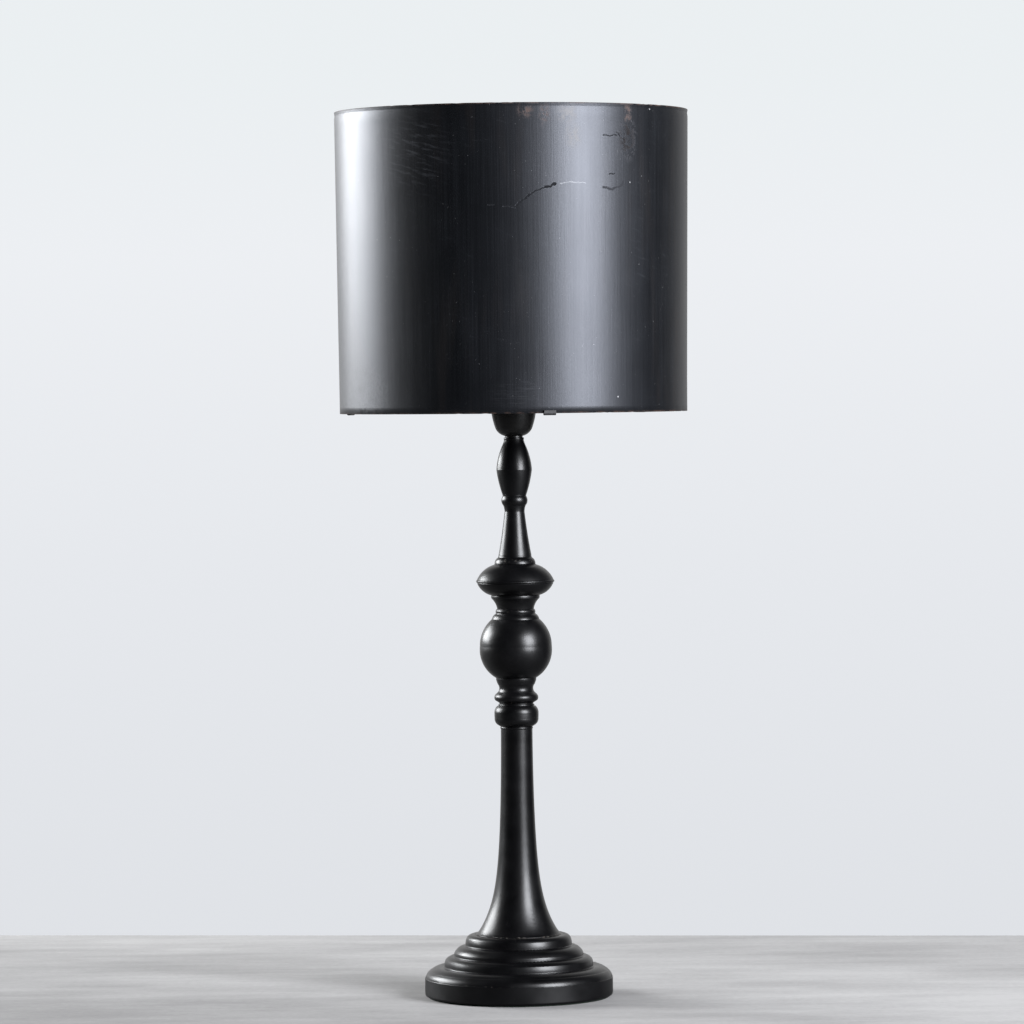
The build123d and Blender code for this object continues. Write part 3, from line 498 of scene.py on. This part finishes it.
# Colour where the grain is high, colour where it is low, grain scale per metre, roughness, how far
# the roughness varies, relief in millimetres, metallic share
PLAIN_FINISHES = {
    "fitter_steel": ((0.03, 0.03, 0.032), (0.018, 0.018, 0.02), 300, 0.42, 0.08, 0.02),
    "rivet_steel": ((0.2, 0.2, 0.21), (0.1, 0.1, 0.11), 500, 0.38, 0.08, 0.01, 1.0),
    "bakelite": ((0.010, 0.0095, 0.009), (0.006, 0.006, 0.006), 400, 0.34, 0.05, 0.01),
    "porcelain": ((0.8, 0.79, 0.75), (0.74, 0.73, 0.69), 200, 0.15, 0.04, 0.01),
    "brass": ((0.78, 0.58, 0.27), (0.55, 0.38, 0.16), 250, 0.28, 0.08, 0.01, 1.0),
    "zinc_steel": ((0.62, 0.62, 0.63), (0.45, 0.45, 0.47), 300, 0.33, 0.08, 0.01, 1.0),
    "iron": ((0.12, 0.115, 0.11), (0.05, 0.045, 0.042), 350, 0.62, 0.12, 0.15, 0.9),
    "felt": ((0.012, 0.026, 0.016), (0.005, 0.012, 0.007), 1800, 0.95, 0.03, 0.3, 0.0, 8.0),
    "black_plastic": ((0.022, 0.022, 0.022), (0.014, 0.014, 0.014), 500, 0.48, 0.06, 0.02),
    "white_plastic": ((0.76, 0.75, 0.7), (0.68, 0.67, 0.62), 300, 0.45, 0.06, 0.01),
    "brown_insulation": ((0.2, 0.085, 0.035), (0.14, 0.055, 0.02), 400, 0.42, 0.06, 0.01),
    "blue_insulation": ((0.05, 0.13, 0.45), (0.03, 0.08, 0.32), 400, 0.42, 0.06, 0.01),
    "fibre": ((0.28, 0.1, 0.06), (0.17, 0.055, 0.035), 700, 0.7, 0.08, 0.04),
    "bulb_cap_metal": ((0.78, 0.78, 0.79), (0.6, 0.6, 0.62), 300, 0.26, 0.06, 0.01, 1.0),
    "black_glass": ((0.02, 0.02, 0.028), (0.012, 0.012, 0.016), 300, 0.12, 0.03, 0.01),
    "contact_metal": ((0.7, 0.7, 0.7), (0.5, 0.5, 0.5), 500, 0.3, 0.08, 0.02, 1.0),
    "filament": ((0.85, 0.7, 0.25), (0.78, 0.6, 0.18), 900, 0.5, 0.06, 0.02),
}
OWN_FINISHES = {
    "lacquered_wood": lacquered_wood,
    "blackened_steel": blackened_steel,
    "bulb_glass": bulb_glass,
}
made_finishes = {}


def finish_for(slot):
    """The material of a slot of the record, made once."""
    if slot not in made_finishes:
        if slot in OWN_FINISHES:
            made_finishes[slot] = OWN_FINISHES[slot]()
        else:
            made_finishes[slot] = mottled(slot, *PLAIN_FINISHES[slot])
    return made_finishes[slot]


def dress_nodes():
    for node, obj in NODES.items():
        obj.data.materials.clear()
        obj.data.materials.append(finish_for(SLOTS[node]))


# ------------------------------------------------------------------ pieces built here
def become_piece(name, build, node, body, smooth_angle):
    """Makes a built mesh the piece that takes the place and finish of a CAD node."""
    bmesh.ops.recalc_face_normals(build, faces=build.faces[:])
    mesh = bpy.data.meshes.new(name)
    build.to_mesh(mesh)
    build.free()
    mesh.shade_smooth()
    mesh.set_sharp_from_angle(angle=math.radians(smooth_angle))
    mesh.materials.append(finish_for(SLOTS[node]))
    piece = bpy.data.objects.new(name, mesh)
    bpy.context.scene.collection.objects.link(piece)
    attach(piece, body)
    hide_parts(node)
    return piece


def sweep(name, rings, closed, node, body, smooth_angle):
    """A piece swept through rings of points; closed joins the last ring to the first."""
    build = bmesh.new()
    rows = [[build.verts.new(point) for point in points] for points in rings]
    pairs = list(zip(rows, rows[1:]))
    if closed:
        pairs.append((rows[-1], rows[0]))
    for first, second in pairs:
        for index in range(len(first)):
            after = (index + 1) % len(first)
            build.faces.new((first[index], first[after], second[after], second[index]))
    if not closed:
        build.faces.new(rows[0])
        build.faces.new(rows[-1])
    become_piece(name, build, node, body, smooth_angle)


def round_z(radius, angle, z):
    """A point at a radius and height, at an angle in radians from the front, + to the right."""
    return Vector((radius * math.sin(angle), -radius * math.cos(angle), z))


def falloff(distance, reach):
    """1 at no distance, easing to 0 at the reach."""
    share = max(0.0, 1 - abs(distance) / reach)
    return share * share * (3 - 2 * share)


SHEET = 0.8 * MM
SEAM_GAP = 0.3 * MM
SHADE_TAPER = 2.5 * MM
# The slack of thin metal pulls it in by up to this much, and fades out near the bottom rim
SHADE_SLACK = 0.22 * MM
SLACK_FADE = 30 * MM
SHADE_SEED = 11
NICKS = 46
NICK_WIDE = (0.008, 0.03)
NICK_DEEP = (0.05, 0.3)
SHADE_STEPS_ROUND, SHADE_STEPS_UP = 420, 44
RIM_EDGE = 0.18 * MM
RIM_SIDE = 0.2 * MM


def shade_sheet():
    """The rolled sheet, with rounded rims, nicks in them, and the slack of thin metal."""
    top_r = widest("shade_shell")
    low, tall = low_z("shade_shell"), SHADE_TALL
    draw = random.Random(SHADE_SEED)
    # Each nick: its angle, the rim it is in (0 bottom, 1 top), half its width in radians, its depth
    nicks = []
    for _ in range(NICKS):
        nicks.append((draw.uniform(-math.pi, math.pi), draw.choice((0, 0, 1)),
                      draw.uniform(*NICK_WIDE), draw.uniform(*NICK_DEEP) * MM))
    steps_round, steps_up = SHADE_STEPS_ROUND, SHADE_STEPS_UP
    half_gap = SEAM_GAP / 2 / top_r
    rings = []
    for step in range(steps_round + 1):
        angle = -math.pi + half_gap + (2 * math.pi - 2 * half_gap) * step / steps_round
        cut = [0.0, 0.0]
        for place, end, wide, deep in nicks:
            cut[end] = max(cut[end], deep * falloff(angle - place, wide))
        outer, inner = [], []
        for row in range(steps_up + 1):
            share = row / steps_up
            height = cut[0] + (tall - cut[0] - cut[1]) * share
            clear = min(1.0, max(0.0, height / SLACK_FADE))
            slack = noise.noise(Vector((math.cos(angle) * 1.6, math.sin(angle) * 1.6, share * 1.4)))
            pulled_in = SHADE_SLACK * clear * (0.5 + 0.5 * slack)
            radius = top_r - SHADE_TAPER * (1 - height / tall) - pulled_in
            outer.append((radius, low + height))
            inner.append((radius - SHEET, low + height))
        section = rounded_rim(outer[0], inner[0], 1) + outer[1:-1]
        section += rounded_rim(inner[-1], outer[-1], -1)[::-1] + inner[-2:0:-1]
        rings.append([round_z(radius, angle, z) for radius, z in section])
    sweep("shade_sheet", rings, False, "shade_shell", "shade", 50)


def rounded_rim(outer, inner, upward):
    """The cut edge between two skins, its corners rubbed round; from the inner skin to the outer."""
    edge = RIM_EDGE * upward
    side = RIM_SIDE if outer[0] > inner[0] else -RIM_SIDE
    return [
        (inner[0], inner[1] + edge), (inner[0] + side, inner[1]),
        (outer[0] - side, outer[1]), (outer[0], outer[1] + edge),
    ]


# The E27 screw: its pitch, and how far along its thread takes to reach full depth
THREAD_PITCH = 3.629 * MM
THREAD_RUN_IN = 1.2 * MM
THREAD_STEPS_ROUND, THREAD_STEPS_UP = 96, 84


def threaded(name, node, body, root, crest, thread_low, thread_high, wall):
    """A pressed metal tube whose wall carries a rounded screw thread between two heights."""
    low, high = low_z(node), high_z(node)
    steps_round, steps_up = THREAD_STEPS_ROUND, THREAD_STEPS_UP
    rings = []
    for step in range(steps_round):
        angle = 2 * math.pi * step / steps_round
        outer, inner = [], []
        for row in range(steps_up + 1):
            z = low + (high - low) * row / steps_up
            inside = min(falloff(min(0.0, z - thread_low), THREAD_RUN_IN),
                         falloff(max(0.0, z - thread_high), THREAD_RUN_IN))
            wave = 0.5 + 0.5 * math.cos(2 * math.pi * z / THREAD_PITCH + angle)
            radius = crest - (crest - root) * inside * (1 - wave)
            outer.append((radius, z))
            inner.append((radius - wall, z))
        rings.append([round_z(radius, angle, z) for radius, z in outer + inner[::-1]])
    sweep(name, rings, True, node, body, 60)


# The felt's edge is furred in and out by this much, and rounded off by these
FELT_EDGE = 0.35 * MM
FELT_UNDER_IN = 0.6
FELT_TOP_DOWN, FELT_UNDER_UP = 0.25 * MM, 0.2 * MM
FELT_NAP = 0.05 * MM
FELT_STEPS_ROUND, FELT_STEPS_OUT = 240, 26


def felt_disc():
    """The pad under the base: a cut disc of felt, its edge a little furred."""
    radius, low, high = widest("felt_pad"), low_z("felt_pad"), high_z("felt_pad")
    build = bmesh.new()
    steps_round, steps_out = FELT_STEPS_ROUND, FELT_STEPS_OUT
    sides = []
    for top in (False, True):
        rows = []
        for out in range(1, steps_out + 1):
            row = []
            for step in range(steps_round):
                angle = 2 * math.pi * step / steps_round
                fur = noise.noise(Vector((math.cos(angle), math.sin(angle), 0.3)) * 40)
                share = out / steps_out
                edge = radius - FELT_EDGE * (1 + fur) * 0.5
                r = edge * share if top or out < steps_out else edge - FELT_EDGE * FELT_UNDER_IN
                z = high if top else low
                if out == steps_out:
                    z += -FELT_TOP_DOWN if top else FELT_UNDER_UP
                elif not top:
                    spot = Vector((r * math.sin(angle), r * math.cos(angle), 0))
                    z += FELT_NAP * (1 + noise.noise(spot * 300))
                row.append(build.verts.new(round_z(r, angle, z)))
            rows.append(row)
        sides.append(rows)
        centre = build.verts.new((0, 0, high if top else low))
        for step in range(steps_round):
            build.faces.new((centre, rows[0][step], rows[0][(step + 1) % steps_round]))
        for first, second in zip(rows, rows[1:]):
            for step in range(steps_round):
                after = (step + 1) % steps_round
                build.faces.new((first[step], second[step], second[after], first[after]))
    under, upper = sides[0][-1], sides[1][-1]
    for step in range(steps_round):
        after = (step + 1) % steps_round
        build.faces.new((under[step], under[after], upper[after], upper[step]))
    piece = become_piece("felt_disc", build, "felt_pad", "stand", 50)


# Each thread: piece, node, body, then in millimetres its depth, how far it stays from the node's
# underside and from its top, and the metal's thickness
THREADS = (
    ("bulb_cap_thread", "bulb_cap", "bulb", 0.85, 3.2, 6.5, 0.35),
    ("screw_shell_thread", "holder_screw_shell", "stand", 0.38, 2.0, 1.5, 0.45),
)


def screw_threads():
    for name, node, body, depth, from_low, from_high, wall in THREADS:
        crest = widest(node)
        threaded(name, node, body, crest - depth * MM, crest,
                 low_z(node) + from_low * MM, high_z(node) - from_high * MM, wall * MM)


# ------------------------------------------------------------------ stage
TABLE_BACK = 0.468
TABLE_SKEW = 0.089
TABLE_FRONT = -1.2
TABLE_SIDE = 2.2
TABLE_THICK = 0.04
TABLE_EDGE = 0.0015
TABLE_RELIEF = 0.25 * MM
# How far the table's colour is painted near black in glossy rays: painted shade in the lamp's gloss,
# standing in for a studio's black cards
PAINTED_GLOSS_SHADE = 0.85


def table_finish():
    """Worn pale concrete, streaked along the table, with painted shade: darker in front and on the left,
    and near black where the lamp's gloss mirrors it.
    """
    s = Surface("pale_table", (0.6, 0.6, 0.6), 0.6)
    place = s.place()
    x, y, _ = s.split(place)
    broad = s.noise(s.join(s.math("MULTIPLY", x, 1.6), s.math("MULTIPLY", y, 2.6)), 2.2, 4.0, 0.6)
    streaks = s.noise(s.join(s.math("MULTIPLY", x, 5), s.math("MULTIPLY", y, 22)), 1.0, 5.0, 0.62)
    fine = s.noise(place, 160, 4.0, 0.65)
    tone = s.math(
        "MULTIPLY_ADD", broad, 0.45, s.math("MULTIPLY_ADD", streaks, 0.37, s.product(fine, 0.18)))
    # Painted shade: the top is darker in front and on the left, and lighter at the back on the right, as
    # the light falls on it
    painted_shade_slope = s.math("MULTIPLY_ADD", x, 0.8, y)
    tone = s.math("ADD", tone, s.remap(painted_shade_slope, -0.45, 0.3, -0.16, 0.06, smooth=True))
    stone = s.ramp(tone, [
        (0.1, (0.2, 0.196, 0.194)), (0.32, (0.32, 0.313, 0.31)), (0.48, (0.43, 0.422, 0.418)),
        (0.64, (0.56, 0.552, 0.545))])
    # Painted shade: in glossy rays the table's colour is pulled towards near black
    mirrored = s.node("ShaderNodeLightPath").outputs["Is Glossy Ray"]
    s.set("Base Color", s.mix(s.product(mirrored, PAINTED_GLOSS_SHADE), stone, (0.02, 0.02, 0.02)))
    s.set("Roughness", s.remap(tone, 0.35, 0.65, 0.78, 0.66))
    s.set("Normal", s.bump(s.math("ADD", fine, s.product(streaks, 2)), TABLE_RELIEF))
    return s.material


def make_floor():
    mesh = bpy.data.meshes.new("table_top")
    build = bmesh.new()
    bmesh.ops.create_cube(build, size=1)
    for vertex in build.verts:
        vertex.co.x *= 2 * TABLE_SIDE
        vertex.co.y = TABLE_BACK - TABLE_SKEW * vertex.co.x if vertex.co.y > 0 else TABLE_FRONT
        vertex.co.z = 0 if vertex.co.z > 0 else -TABLE_THICK
    bmesh.ops.bevel(build, geom=build.edges[:], offset=TABLE_EDGE, segments=2, affect="EDGES")
    build.to_mesh(mesh)
    build.free()
    table = bpy.data.objects.new("table_top", mesh)
    bpy.context.scene.collection.objects.link(table)
    table.data.materials.append(table_finish())


# ------------------------------------------------------------------ all of it
def main():
    bpy.context.scene.view_settings.view_transform = "Standard"
    make_camera()
    make_world()
    make_floor()
    for name, settings in SOFTBOXES.items():
        make_softbox(name, *settings)
    dress_nodes()
    shade_sheet()
    felt_disc()
    screw_threads()


main()
